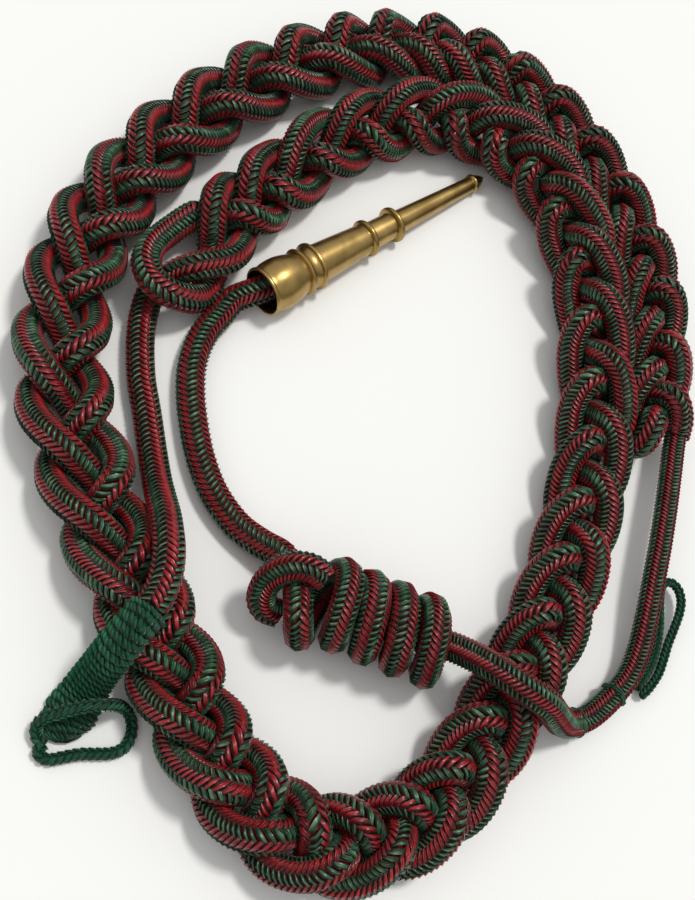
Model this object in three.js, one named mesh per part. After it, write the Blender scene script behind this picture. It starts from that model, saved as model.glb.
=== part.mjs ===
// Shoulder cord (fourragere) lying on a flat surface: one round braided cord, plaited in three
// strands, with a single cord at each end, a coil knot, a turned brass tip and two button loops.
// Millimetres, +Z up, surface at z = 0. The plait runs anticlockwise, so its left side is inside.
import * as THREE from 'three';

// Driving dimensions
const cordDiameter = 6.4;
const plaitCordDiameter = 5.6;
const jointDiameter = 7.8;
const bightDiameter = 5.2;
const buttonLoopDiameter = 2.4;
const touchGap = 0.5;

// Places are given from the middle of the ring; the origin is moved to the middle of the whole
const wholeMiddle = { x: 9.2, y: 15.2 };

// The three-strand plait
const weaveHeight = 4.6;
const weaveFullness = 0.13;
const edgeFlatness = -0.055;
const weaveAdvance = -1.6;
const plaitHeight = 8.1;
const lobesPerRow = 2;
const firstRowLobe = -1.5;
const lobePitch = 16;
const pointsPerLobe = 8;

// How cords press on each other: the least distance between two middles, how far apart along one
// cord they count as two, the most that it looks for, how the push spreads along the cord, and how
// many beads stay put at an end
const cordSpacing = 6.45;
const beadSpacing = 2;
const beadsApart = 8;
const nearDistance = 11;
const settlePasses = 120;
const spreading = 0.35;
const heldBeads = 2;

// Facets
const plaitSides = 6;
const cordSides = 8;
const plaitStep = 6.2;
const cordStep = 7;
const coilStep = 4;
const bightStep = 2;
const sleeveSides = 10;
const tipSides = 18;
const fewestSteps = 3;
const lengthDivisions = 2000;

// Coil knot
const knotCentre = new THREE.Vector3(-10.5, -43, 11);
const knotAxis = new THREE.Vector3(0.915, -0.405, 0).normalize();
const knotRadius = 7.5;
const knotPitch = 7.7;
const knotFirstTurn = 1.25 * Math.PI;
const knotMiddleTurn = 2.5 * Math.PI;
const knotLastTurn = 9.3 * Math.PI;
const knotPoints = 50;

// Brass tip
const tipMouth = new THREE.Vector3(-20.4, 41.1, 7.25);
const tipPoint = new THREE.Vector3(49.4, 85.2, 2.45);
const tipDirection = tipPoint.clone().sub(tipMouth).normalize();

// Plait centreline, one row for every two lobes from the outer end to the inner end, in mm.
// lean: how far, in lobes, the inner edge runs ahead of the middle; roll: degrees that the outer
// edge is lifted; lift: mm added to the height; reach: mm from the middle to an edge strand.
const plaitRows = [
  { x: 79.5, y: -8.5, lean: 0, roll: 0, lift: 0, reach: 6.3 },
  { x: 86.3, y: 20, lean: -0.1, roll: 0, lift: 0, reach: 6.3 },
  { x: 90, y: 53, lean: -0.18, roll: 8, lift: 0, reach: 6.3 },
  { x: 81, y: 86, lean: -0.22, roll: 14, lift: 0.4, reach: 6.3 },
  { x: 63.5, y: 112, lean: -0.24, roll: 12, lift: 0.4, reach: 6.6 },
  { x: 40.5, y: 124.5, lean: -0.24, roll: 4, lift: 0, reach: 7.2 },
  { x: 14, y: 123, lean: -0.15, roll: 0, lift: 0, reach: 7.6 },
  { x: -16.5, y: 108.5, lean: 0.02, roll: 0, lift: 0, reach: 7.6 },
  { x: -44.5, y: 84, lean: 0.09, roll: 0, lift: 0, reach: 7.6 },
  { x: -64, y: 55, lean: 0.11, roll: 0, lift: 0, reach: 7.8 },
  { x: -71, y: 19, lean: 0.16, roll: 0, lift: 0, reach: 7.6 },
  { x: -63, y: -17, lean: 0.18, roll: 0, lift: 0, reach: 7.4 },
  { x: -50, y: -49.5, lean: 0.17, roll: 0, lift: 0, reach: 7.0 },
  { x: -38, y: -77, lean: 0.15, roll: 0, lift: 0, reach: 6.8 },
  { x: -19.5, y: -94.5, lean: 0.1, roll: 0, lift: 0, reach: 6.8 },
  { x: 5.5, y: -91, lean: 0.1, roll: 0, lift: 0, reach: 6.6 },
  { x: 26, y: -72, lean: 0.11, roll: 0, lift: 0, reach: 6.4 },
  { x: 44, y: -47.5, lean: 0.12, roll: 0, lift: 0, reach: 6.2 },
  { x: 58.5, y: -18.5, lean: 0.15, roll: 0, lift: 0, reach: 6.0 },
  { x: 69.5, y: 15.5, lean: 0.22, roll: 6, lift: 0.5, reach: 6.0 },
  { x: 72, y: 52.5, lean: 0.28, roll: 24, lift: 2.5, reach: 6.0 },
  { x: 62, y: 84.5, lean: 0.3, roll: 34, lift: 3.5, reach: 6.0 },
  { x: 38.5, y: 99.5, lean: 0.3, roll: 24, lift: 2.2, reach: 6.2 },
  { x: 10, y: 93, lean: 0.28, roll: 6, lift: 0.4, reach: 6.4 },
  { x: -17.5, y: 72, lean: 0.26, roll: 0, lift: 0, reach: 6.4 },
  { x: -36.5, y: 53.5, lean: 0.2, roll: 0, lift: 0, reach: 6.4 },
];

const vectors = (rows) => rows.map(([x, y, z]) => new THREE.Vector3(x, y, z));
const smoothCurve = (points) => new THREE.CatmullRomCurve3(points, false, 'centripetal');

const plaitMiddle = new THREE.CatmullRomCurve3(
  plaitRows.map((row) => new THREE.Vector3(row.x, row.y, plaitHeight + row.lift)),
);
const plaitManner = new THREE.CatmullRomCurve3(
  plaitRows.map((row) => new THREE.Vector3(row.lean, row.roll, row.reach)),
);

// Share of the way along the rows at a lobe count
function rowShare(lobe) {
  return (lobe - firstRowLobe) / lobesPerRow / (plaitRows.length - 1);
}

// One point of a plait strand. The strand swings from edge to edge once in three lobes and rises
// and falls twice, so that it passes over one neighbour and under the other.
function strandPoint(strand, lobe) {
  const turn = (2 * Math.PI * (lobe + strand)) / 3;
  const swing = Math.sin(turn) + edgeFlatness * Math.sin(3 * turn);
  const manner = plaitManner.getPoint(rowShare(lobe));
  const advance = (weaveAdvance / lobePitch) * Math.sin(2 * turn);
  const share = rowShare(lobe + manner.x * swing + advance);
  const middle = plaitMiddle.getPoint(share);
  const along = plaitMiddle.getTangent(share);
  const inward = new THREE.Vector3(-along.y, along.x, 0).normalize();
  const roll = THREE.MathUtils.degToRad(manner.y);
  const across = manner.z * swing;
  const rise = -weaveHeight * (Math.sin(2 * turn) + weaveFullness * Math.sin(4 * turn));
  const sideways = across * Math.cos(roll) + rise * Math.sin(roll);
  const upward = rise * Math.cos(roll) - across * Math.sin(roll);
  return middle.addScaledVector(inward, sideways).add(new THREE.Vector3(0, 0, upward));
}

function strandPoints(strand, from, to) {
  const count = Math.round(Math.abs(to - from) * pointsPerLobe);
  const points = [];
  for (let i = 0; i <= count; i += 1) {
    points.push(strandPoint(strand, from + ((to - from) * i) / count));
  }
  return points;
}

// One point of the coil knot, which winds from the far side over the top and moves to the right
function knotPoint(turn) {
  const side = new THREE.Vector3(-knotAxis.y, knotAxis.x, 0);
  const along = (knotPitch * (turn - knotMiddleTurn)) / (2 * Math.PI);
  return knotCentre.clone()
    .addScaledVector(knotAxis, along)
    .addScaledVector(side, knotRadius * Math.cos(turn))
    .add(new THREE.Vector3(0, 0, knotRadius * Math.sin(turn)));
}

function coilPoints() {
  const points = [];
  for (let i = 0; i <= knotPoints; i += 1) {
    points.push(knotPoint(knotFirstTurn + ((knotLastTurn - knotFirstTurn) * i) / knotPoints));
  }
  return points;
}

const inTip = (depth) => tipMouth.clone().addScaledVector(tipDirection, depth);

// The long cord from the core of the knot to the green sleeve, cut into named stretches. A stretch
// runs to the first point of the next one.
const longCord = [
  {
    name: 'knot_cord',
    points: vectors([
      [-9, -43.7, 11], [0, -47.7, 11], [8, -51.2, 11], [15.5, -54, 11.8], [20, -57.5, 15],
      [24, -62, 19.4], [28.5, -66.2, 21], [34, -69.4, 19], [38.5, -71.4, 13], [42.5, -72.1, 7.4]]),
  },
  {
    name: 'joint_sleeve',
    diameter: jointDiameter,
    points: vectors([[47.2, -72, 4.6], [50.5, -71.4, 4.1], [54.5, -69.4, 4]]),
  },
  {
    name: 'outer_tail',
    points: vectors([
      [59.2, -66.2, 4.1], [63.5, -62.5, 4.5], [67.3, -56.5, 5.6], [70.5, -48.5, 7.2], [74, -39, 8.4],
      [78, -29, 8.8], [81.9, -19, 8.6], [85, -10.5, 8.2]]),
  },
  {
    name: 'plait_strand_1',
    diameter: plaitCordDiameter,
    sides: plaitSides,
    step: plaitStep,
    points: [...strandPoints(0, -0.75, 48.1), ...vectors([[-31.5, 48.5, 4.4]])],
  },
  {
    name: 'inner_hook',
    step: coilStep,
    points: vectors([
      [-33, 44.6, 4.4], [-34.2, 42.3, 5], [-36.8, 39.4, 6.4], [-40.5, 37.3, 9.4], [-45, 37.3, 12],
      [-48.7, 39.8, 12.8], [-50.3, 44.5, 12.6], [-49, 50, 11], [-45, 55.5, 9]]),
  },
  {
    name: 'plait_strand_3',
    diameter: plaitCordDiameter,
    sides: plaitSides,
    step: plaitStep,
    points: strandPoints(2, 48.2, -0.3),
  },
  {
    name: 'end_bight',
    diameter: bightDiameter,
    step: bightStep,
    points: vectors([
      [82.6, 4.6, 10.2], [81.2, 2.7, 11.4], [80.1, 0.6, 11], [79.3, -1, 9.2], [79, -1.3, 7], [79, -0.5, 4.8], [79.1, 1, 3.9]]),
  },
  {
    name: 'plait_strand_2',
    diameter: plaitCordDiameter,
    sides: plaitSides,
    step: plaitStep,
    points: [...vectors([[79.1, 2.8, 3.8]]), ...strandPoints(1, -0.2, 47.25), ...vectors([[-29, 48.2, 11.6]])],
  },
  {
    name: 'sleeve_tail',
    points: vectors([
      [-37, 45.6, 11.8], [-41.5, 45.4, 8.6], [-45.5, 44.2, 5], [-48.2, 41.9, 3.9], [-50, 37.5, 3.5],
      [-51.3, 31, 3.5], [-51.7, 18.5, 3.5], [-50.6, 8, 3.5], [-49.8, -2, 4], [-49.2, -12, 7],
      [-48.8, -19, 11.5], [-48.5, -25.5, 16.5], [-48.6, -32, 19.6], [-49.6, -38, 20.8],
      [-51.6, -42.6, 20.7], [-53.3, -45, 20.6]]),
    heldAtEnd: 5,
  },
];

// The cord of the knot's coil, from its tucked end back to the brass tip
const coilCord = [
  {
    name: 'coil_knot',
    step: coilStep,
    points: [
      ...coilPoints().reverse(),
      ...vectors([[-18.8, -49.4, 8.8], [-19.7, -49, 12.8], [-20.1, -46.3, 15.8], [-19.5, -42.4, 15.2],
        [-18.6, -38, 12], [-18.4, -33.8, 8.6]]),
    ],
  },
  {
    name: 'ferret_cord',
    points: [
      ...vectors([
        [-20.6, -29.6, 6.8], [-24.5, -26.4, 5], [-30, -21.3, 3.6], [-35, -13.5, 3.5], [-37.8, -5, 3.5],
        [-39.2, 4, 3.5], [-39.6, 14.4, 3.5], [-38.4, 23, 3.5], [-34.6, 31.2, 3.5], [-29.6, 36.8, 4],
        [-26, 40.4, 5.2], [-20.6, 42.4, 6.4]]),
      inTip(12), inTip(21),
    ],
    heldAtEnd: 12,
  },
];

// The bight that crosses over the incoming cord, with its left end tucked under the first turn
const bightCord = [
  {
    name: 'knot_bight',
    step: coilStep,
    points: vectors([
      [-14.4, -38.4, 17.6], [-16.8, -37, 19.1], [-20.1, -36.1, 18.7], [-23.6, -36.4, 16.2],
      [-26.2, -38, 13], [-27, -40.7, 10], [-25.6, -42.8, 8], [-23, -43.6, 7]]),
  },
];

// Green sleeve: the middle of each section, its half width and half height
const sleeveSections = [
  { x: -53.5, y: -45.2, z: 20.6, wide: 4.4, high: 4.2 },
  { x: -56.8, y: -48.9, z: 20.4, wide: 4.5, high: 4.2 },
  { x: -60.4, y: -52.7, z: 17.2, wide: 4.7, high: 3.9 },
  { x: -63.9, y: -56.0, z: 10.0, wide: 4.8, high: 3.0 },
  { x: -66.9, y: -59.4, z: 3.7, wide: 5.4, high: 2.1 },
  { x: -69.3, y: -62.6, z: 1.7, wide: 6.0, high: 1.9 },
  { x: -70.7, y: -65.3, z: 1.5, wide: 5.1, high: 1.8 },
  { x: -71.2, y: -67.7, z: 1.2, wide: 3.6, high: 1.5 },
];

// Beads that stand for a cord: close points on its middle, with the place where each stretch starts
function layCord(stretches) {
  const points = stretches.flatMap((stretch) => stretch.points);
  const curve = smoothCurve(points);
  const last = points.length - 1;
  const beads = [];
  const starts = [];
  let order = 0;
  for (const stretch of stretches) {
    starts.push(beads.length);
    for (let i = 0; i < stretch.points.length && order < last; i += 1) {
      const parts = Math.max(1, Math.round(points[order].distanceTo(points[order + 1]) / beadSpacing));
      for (let part = 0; part < parts; part += 1) {
        beads.push({ home: curve.getPoint((order + part / parts) / last) });
      }
      order += 1;
    }
  }
  starts.push(beads.length);
  beads.push({ home: points[last].clone() });
  for (const [index, bead] of beads.entries()) {
    const fromEnd = beads.length - 1 - index;
    const held = stretches[stretches.length - 1].heldAtEnd || heldBeads;
    const stretch = stretches[starts.findLastIndex((start) => start <= Math.min(index, beads.length - 2))];
    Object.assign(bead, {
      order: index,
      chain: beads,
      held: index < heldBeads || fromEnd < held,
      radius: cordSpacing / 2,
      floor: (stretch.diameter || cordDiameter) / 2,
      place: bead.home.clone(),
      shift: new THREE.Vector3(),
    });
  }
  return { stretches, starts, beads };
}

// Held beads for a piece that doesn't give way
function layObstacle(points, radii) {
  return points.map((home, order) => ({
    home, order, chain: points, held: true, radius: radii[order], place: home, shift: new THREE.Vector3(),
  }));
}

// Cords that lie too close press each other aside until they only touch, and rest on the surface
function settle(cords, obstacles) {
  const beads = [...cords.flatMap((cord) => cord.beads), ...obstacles];
  const pairs = [];
  for (let i = 0; i < beads.length; i += 1) {
    for (let j = i + 1; j < beads.length; j += 1) {
      const [a, b] = [beads[i], beads[j]];
      const close = a.chain === b.chain && Math.abs(a.order - b.order) < beadsApart;
      if (!close && !(a.held && b.held) && a.home.distanceTo(b.home) < nearDistance) {
        pairs.push([a, b]);
      }
    }
  }
  const push = new THREE.Vector3();
  for (let pass = 0; pass < settlePasses; pass += 1) {
    for (const [a, b] of pairs) {
      push.subVectors(a.place, b.place);
      const lack = a.radius + b.radius - push.length();
      if (lack > 0) {
        push.setLength(lack / (a.held || b.held ? 1 : 2));
        if (!a.held) {
          a.shift.add(push);
          a.place.add(push);
        }
        if (!b.held) {
          b.shift.sub(push);
          b.place.sub(push);
        }
      }
    }
    for (const cord of cords) {
      const before = cord.beads.map((bead) => bead.shift.clone());
      for (let i = 1; i < cord.beads.length - 1; i += 1) {
        const bead = cord.beads[i];
        if (!bead.held) {
          const level = before[i - 1].clone().add(before[i + 1]).multiplyScalar(0.5);
          bead.shift.lerp(level, spreading);
          bead.place.addVectors(bead.home, bead.shift);
          const sunk = Math.max(0, bead.floor - bead.place.z);
          bead.shift.z += sunk;
          bead.place.z += sunk;
        }
      }
    }
  }
}

// Part of a longer curve
class CurveStretch extends THREE.Curve {
  constructor(whole, from, to) {
    super();
    Object.assign(this, { whole, from, to });
  }

  getPoint(t, target = new THREE.Vector3()) {
    return this.whole.getPoint(THREE.MathUtils.lerp(this.from, this.to, t), target);
  }
}

function roundSection(diameter, sides) {
  const section = new THREE.Shape();
  for (let i = 0; i < sides; i += 1) {
    const angle = (2 * Math.PI * i) / sides;
    const x = (diameter / 2) * Math.cos(angle);
    const y = (diameter / 2) * Math.sin(angle);
    if (i === 0) {
      section.moveTo(x, y);
    } else {
      section.lineTo(x, y);
    }
  }
  section.closePath();
  return section;
}

// A solid cord of polygon section along a curve
function cordGeometry(curve, diameter, sides, step) {
  curve.arcLengthDivisions = lengthDivisions;
  const steps = Math.max(fewestSteps, Math.round(curve.getLength() / step));
  return new THREE.ExtrudeGeometry(roundSection(diameter, sides), {
    steps,
    extrudePath: curve,
    bevelEnabled: false,
  });
}

const redGreenCord = { color: 0x6b2a2a, roughness: 0.75, metalness: 0 };
const greenThread = { color: 0x14663f, roughness: 0.7, metalness: 0 };
const brass = { color: 0xb08d45, roughness: 0.3, metalness: 1 };

const fourragere = new THREE.Group();

function addPiece(name, geometry, finish) {
  const mesh = new THREE.Mesh(geometry, new THREE.MeshStandardMaterial(finish));
  mesh.name = name;
  fourragere.add(mesh);
  return mesh;
}

// Each stretch of a settled cord is a solid of its own, with a small gap where two meet
function addCord(cord) {
  const whole = smoothCurve(cord.beads.map((bead) => bead.place));
  const last = cord.beads.length - 1;
  cord.stretches.forEach((stretch, index) => {
    const from = (cord.starts[index] + touchGap / 2 / beadSpacing) / last;
    const to = (cord.starts[index + 1] - touchGap / 2 / beadSpacing) / last;
    const geometry = cordGeometry(
      new CurveStretch(whole, from, to),
      stretch.diameter || cordDiameter,
      stretch.sides || cordSides,
      stretch.step || cordStep,
    );
    addPiece(stretch.name, geometry, redGreenCord);
  });
}

// A tube through oval sections, with no point below the surface that it lies on
function sleeveGeometry() {
  const rows = sleeveSections.length - 1;
  const geometry = new THREE.CylinderGeometry(1, 1, rows, sleeveSides, rows);
  const middles = sleeveSections.map(({ x, y, z }) => new THREE.Vector3(x, y, z));
  const corner = new THREE.Vector3();
  const position = geometry.attributes.position;
  for (let i = 0; i < position.count; i += 1) {
    corner.fromBufferAttribute(position, i);
    const row = Math.round(rows / 2 - corner.y);
    const section = sleeveSections[row];
    const along = middles[Math.min(row + 1, rows)].clone().sub(middles[Math.max(row - 1, 0)]).normalize();
    const side = new THREE.Vector3(-along.y, along.x, 0).normalize();
    const up = new THREE.Vector3().crossVectors(along, side);
    const place = middles[row].clone()
      .addScaledVector(side, -corner.z * section.wide)
      .addScaledVector(up, corner.x * section.high);
    position.setXYZ(i, place.x, place.y, Math.max(place.z, 0));
  }
  geometry.computeVertexNormals();
  return geometry;
}

// Brass tip: distance from the mouth and radius, back along the bore and then the outside, whose
// bulb starts at row tipBulb
const tipBulb = 10;
const tipProfile = [
  { along: 22, radius: 0 }, { along: 22, radius: 3.7 }, { along: 13, radius: 3.7 },
  { along: 12, radius: 4.7 }, { along: 8, radius: 5.6 }, { along: 4, radius: 6.0 },
  { along: 0, radius: 5.95 }, { along: 0, radius: 6.45 }, { along: 0.6, radius: 6.65 },
  { along: 1.2, radius: 6.3 }, { along: 3, radius: 6.65 }, { along: 5.5, radius: 6.9 },
  { along: 9, radius: 6.5 }, { along: 12.8, radius: 5.5 }, { along: 13.2, radius: 6.3 },
  { along: 13.9, radius: 6.4 }, { along: 14.4, radius: 5.75 }, { along: 15.4, radius: 5.75 },
  { along: 15.9, radius: 6.45 }, { along: 16.8, radius: 6.45 }, { along: 17.2, radius: 5.4 },
  { along: 26, radius: 4.9 }, { along: 35.4, radius: 4.3 },
  { along: 35.8, radius: 5.0 }, { along: 36.4, radius: 5.2 }, { along: 37.2, radius: 5.0 },
  { along: 37.6, radius: 3.8 }, { along: 45, radius: 3.75 }, { along: 45.5, radius: 4.8 },
  { along: 46.2, radius: 5.05 }, { along: 47, radius: 4.8 }, { along: 47.5, radius: 3.2 },
  { along: 60, radius: 2.8 }, { along: 77, radius: 2.2 }, { along: 77.6, radius: 2.4 },
  { along: 78.8, radius: 2.48 }, { along: 79.6, radius: 2.3 }, { along: 82.6, radius: 0 },
];

// Pieces that the cords rest against
const sleeveBeads = layObstacle(
  sleeveSections.slice(0, 5).map(({ x, y, z }) => new THREE.Vector3(x, y, z)),
  sleeveSections.slice(0, 5).map((section) => section.high),
);
const tipRows = tipProfile.slice(tipBulb);
const tipBeads = layObstacle(tipRows.map(({ along }) => inTip(along)), tipRows.map(({ radius }) => radius));

const cords = [longCord, coilCord, bightCord].map(layCord);
settle(cords, [...sleeveBeads, ...tipBeads]);
cords.forEach(addCord);

addPiece('green_sleeve', sleeveGeometry(), greenThread);

// Green button loops
const buttonLoops = [
  {
    name: 'joint_button_loop',
    points: vectors([
      [67.3, -66.3, 2.4], [70.7, -64.4, 2], [74.2, -60.6, 2.2], [77.5, -55.9, 2.8], [80.3, -51, 3.4],
      [82.6, -46.5, 3.8], [83.3, -42.9, 4], [82.5, -40.2, 4], [80.8, -38.8, 4], [78.9, -39.2, 3.6],
      [77.6, -41.4, 3.2], [77.2, -44.8, 3], [76.9, -48.6, 2.8], [75.9, -52.6, 2.4], [73.6, -56.5, 2],
      [70.7, -59.9, 1.8], [68.3, -62.8, 2]]),
  },
  {
    name: 'sleeve_button_loop',
    points: vectors([
      [-76.4, -67.6, 1.5], [-76.6, -65.6, 2.8], [-75.1, -64, 4.8], [-72.7, -63.6, 6.2],
      [-70.4, -63.2, 7.2], [-67.9, -62.9, 8.4], [-65.4, -62.8, 9.4], [-62.9, -62.8, 9.3],
      [-60.4, -62.6, 7.2], [-58.3, -62.6, 3.8], [-56.8, -63.9, 1.8], [-56.3, -65.9, 1.3], [-56.6, -68.4, 1.3],
      [-57.9, -70.7, 1.3], [-60.5, -71.8, 1.3], [-63.7, -71.8, 1.3], [-67.5, -71.6, 1.3],
      [-71.2, -72, 1.3], [-73.9, -72.3, 1.3], [-75.8, -71.5, 1.3], [-76.4, -69.8, 1.3]]),
  },
];
for (const loop of buttonLoops) {
  addPiece(loop.name, cordGeometry(smoothCurve(loop.points), buttonLoopDiameter, cordSides, coilStep), greenThread);
}

const tipGeometry = new THREE.LatheGeometry(
  tipProfile.map(({ along, radius }) => new THREE.Vector2(radius, along)),
  tipSides,
);
const ferret = addPiece('ferret', tipGeometry, brass);
ferret.position.copy(tipMouth);
ferret.quaternion.setFromUnitVectors(new THREE.Vector3(0, 1, 0), tipDirection);

// The origin is on the surface under the middle of the whole
fourragere.position.set(-wholeMiddle.x, -wholeMiddle.y, 0);

export default fourragere;
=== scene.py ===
import math

import bmesh
import bpy
import numpy as np
from mathutils import Matrix, Vector


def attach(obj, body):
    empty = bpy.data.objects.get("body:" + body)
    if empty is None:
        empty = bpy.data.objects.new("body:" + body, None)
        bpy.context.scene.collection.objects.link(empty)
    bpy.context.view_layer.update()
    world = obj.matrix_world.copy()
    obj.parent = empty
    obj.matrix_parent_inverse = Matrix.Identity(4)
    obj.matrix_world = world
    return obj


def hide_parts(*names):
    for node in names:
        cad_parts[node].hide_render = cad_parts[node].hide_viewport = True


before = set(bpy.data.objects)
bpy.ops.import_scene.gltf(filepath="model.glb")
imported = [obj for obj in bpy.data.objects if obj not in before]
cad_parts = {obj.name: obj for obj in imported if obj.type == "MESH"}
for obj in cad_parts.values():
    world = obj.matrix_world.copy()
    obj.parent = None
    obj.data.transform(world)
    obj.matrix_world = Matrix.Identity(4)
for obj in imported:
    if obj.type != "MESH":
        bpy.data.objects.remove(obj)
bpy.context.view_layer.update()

# A fourragere lying on a table: one braided cord plaited in three, its single ends, a coil knot,
# a turned brass tip and two green button loops. Metres, +Z up. Places are written from the middle
# of the ring, and wholeMiddle moves them to the middle of the whole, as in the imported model.
wholeMiddle = np.array([0.0092, 0.0152, 0])

# Camera: it stands towards the picture's lower left and looks down at 63 degrees
camera = {
    "tilt": 27,  # degrees from straight down
    "turn": 35,  # degrees from straight below the picture's middle towards its left
    "lens": 46,  # mm
    "sensor": 36,  # mm, along the longer side of the picture
    "distance": 0.29325,
    "nearest": 0.01,
    "farthest": 20,
}


def cameraAxes():
    tilt = math.radians(camera["tilt"])
    turn = math.radians(camera["turn"])
    back = Vector((-math.sin(turn) * math.sin(tilt), -math.cos(turn) * math.sin(tilt), math.cos(tilt)))
    right = (Vector((1, 0, 0)) - back * back.x).normalized()
    return right, back.cross(right), back


def placeCamera():
    right, up, back = cameraAxes()
    data = bpy.data.cameras.new("camera")
    data.lens = camera["lens"]
    data.sensor_width = camera["sensor"]
    data.clip_start = camera["nearest"]
    data.clip_end = camera["farthest"]
    eye = bpy.data.objects.new("camera", data)
    place = Matrix((right, up, back)).transposed().to_4x4()
    place.translation = back * camera["distance"] - Vector(wholeMiddle)
    eye.matrix_world = place
    bpy.context.scene.collection.objects.link(eye)
    bpy.context.scene.camera = eye


placeCamera()
print("camera placed")

photo = {
    "width": 695,
    "height": 900,
    "decimals": 4,  # of a metre, to which a place picked in the photo is good
}


# Places of points picked in the photo. A pick is x and y in the photo's pixels and a height in mm.
def castPicks(picks):
    right, up, back = (np.array(axis) for axis in cameraAxes())
    x, y, height = np.array(picks, float).T
    pixelsPerSlope = photo["height"] * camera["lens"] / camera["sensor"]
    across = ((x - photo["width"] / 2) / pixelsPerSlope)[:, None]
    upwards = ((photo["height"] / 2 - y) / pixelsPerSlope)[:, None]
    rays = across * right + upwards * up - back
    eye = back * camera["distance"]
    reach = (height / 1000 - eye[2]) / rays[:, 2]
    return np.round(eye + reach[:, None] * rays, photo["decimals"])

# The weave of the plait
weave = {
    "strands": 3,
    "height": 0.0046,  # how far a strand rises and dips
    "fullness": 0.13,  # share of a second wave that steepens one side of each rise
    "edgeFlatness": -0.055,  # share of a third wave: above zero flattens the lobes, below it points them
    "advance": -0.0016,  # how far a strand runs ahead and behind as it crosses
    "plaitHeight": 0.0081,  # of the plait's middle above the table
    "lobePitch": 0.016,
    "lobesPerRow": 2,
    "firstRowLobe": -1.5,
    "pointsPerLobe": 8,
    "directionStep": 0.01,  # in rows, either way, to find where the plait heads
}

# Plait middle, a row for every two lobes from the outer end: x, y, how far in lobes the inner edge
# runs ahead, degrees that the outer edge is lifted, added height, middle to edge strand in mm
plaitRows = np.array([
    (0.0795, -0.0085, 0, 0, 0, 6.3),
    (0.0863, 0.0200, -0.1, 0, 0, 6.3),
    (0.0900, 0.0530, -0.18, 8, 0, 6.3),
    (0.0810, 0.0860, -0.22, 14, 0.0004, 6.3),
    (0.0635, 0.1120, -0.24, 12, 0.0004, 6.6),
    (0.0405, 0.1245, -0.24, 4, 0, 7.2),
    (0.0140, 0.1230, -0.15, 0, 0, 7.6),
    (-0.0165, 0.1085, 0.02, 0, 0, 7.6),
    (-0.0445, 0.0840, 0.09, 0, 0, 7.6),
    (-0.0640, 0.0550, 0.11, 0, 0, 7.8),
    (-0.0710, 0.0190, 0.16, 0, 0, 7.6),
    (-0.0630, -0.0170, 0.18, 0, 0, 7.4),
    (-0.0500, -0.0495, 0.17, 0, 0, 7.0),
    (-0.0380, -0.0770, 0.15, 0, 0, 6.8),
    (-0.0195, -0.0945, 0.1, 0, 0, 6.8),
    (0.0055, -0.0910, 0.1, 0, 0, 6.6),
    (0.0260, -0.0720, 0.11, 0, 0, 6.4),
    (0.0440, -0.0475, 0.12, 0, 0, 6.2),
    (0.0585, -0.0185, 0.15, 0, 0, 6.0),
    (0.0695, 0.0155, 0.22, 6, 0.0005, 6.0),
    (0.0720, 0.0525, 0.28, 24, 0.0025, 6.0),
    (0.0620, 0.0845, 0.3, 34, 0.0035, 6.0),
    (0.0385, 0.0995, 0.3, 24, 0.0022, 6.2),
    (0.0100, 0.0930, 0.28, 6, 0.0004, 6.4),
    (-0.0175, 0.0720, 0.26, 0, 0, 6.4),
    (-0.0365, 0.0535, 0.2, 0, 0, 6.4),
])
plaitMiddle = np.column_stack([plaitRows[:, 0], plaitRows[:, 1], weave["plaitHeight"] + plaitRows[:, 4]])
plaitManner = plaitRows[:, [2, 3, 5]]


leastStride = 1e-5


# A smooth centripetal curve through points; at counts the points
def curvePoint(points, at):
    ends = np.vstack([2 * points[0] - points[1], points, 2 * points[-1] - points[-2]])
    index = np.clip(np.floor(at).astype(int), 0, len(points) - 2)
    share = (at - index)[:, None]
    before, start, end, after = (ends[index + step] for step in range(4))

    def stride(first, second):
        length = np.sqrt(np.linalg.norm(second - first, axis=1, keepdims=True))
        return np.where(length < leastStride, 1, length)

    d0, d1, d2 = stride(before, start), stride(start, end), stride(end, after)
    leave = ((start - before) / d0 - (end - before) / (d0 + d1) + (end - start) / d1) * d1
    arrive = ((end - start) / d1 - (after - start) / (d1 + d2) + (after - end) / d2) * d1
    square = -3 * start + 3 * end - 2 * leave - arrive
    cube = 2 * start - 2 * end + leave + arrive
    return start + leave * share + square * share ** 2 + cube * share ** 3


def strandPoints(strand, first, last):
    count = round(abs(last - first) * weave["pointsPerLobe"])
    lobe = np.linspace(first, last, count + 1)

    def rowAt(value):
        return (value - weave["firstRowLobe"]) / weave["lobesPerRow"]

    turn = 2 * math.pi * (lobe + strand) / weave["strands"]
    swing = np.sin(turn) + weave["edgeFlatness"] * np.sin(3 * turn)
    lean, roll, reach = curvePoint(plaitManner, rowAt(lobe)).T
    row = rowAt(lobe + lean * swing + weave["advance"] / weave["lobePitch"] * np.sin(2 * turn))
    middle = curvePoint(plaitMiddle, row)
    step = weave["directionStep"]
    ahead = curvePoint(plaitMiddle, row + step) - curvePoint(plaitMiddle, row - step)
    inward = np.column_stack([-ahead[:, 1], ahead[:, 0]]) / np.hypot(ahead[:, 0], ahead[:, 1])[:, None]
    roll = np.radians(roll)
    across = reach / 1000 * swing
    rise = -weave["height"] * (np.sin(2 * turn) + weave["fullness"] * np.sin(4 * turn))
    middle[:, :2] += inward * (across * np.cos(roll) + rise * np.sin(roll))[:, None]
    middle[:, 2] += rise * np.cos(roll) - across * np.sin(roll)
    return middle


# Coil knot, wound from the far side over the top towards the right
knot = {
    "centre": (-0.0105, -0.043, 0.011),
    "axis": (0.9144, -0.4047, 0),
    "radius": 0.0075,
    "pitch": 0.0077,
    "firstTurn": 1.25,  # in half turns, as the next two
    "middleTurn": 2.5,
    "lastTurn": 9.3,
    "points": 50,
}


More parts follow.
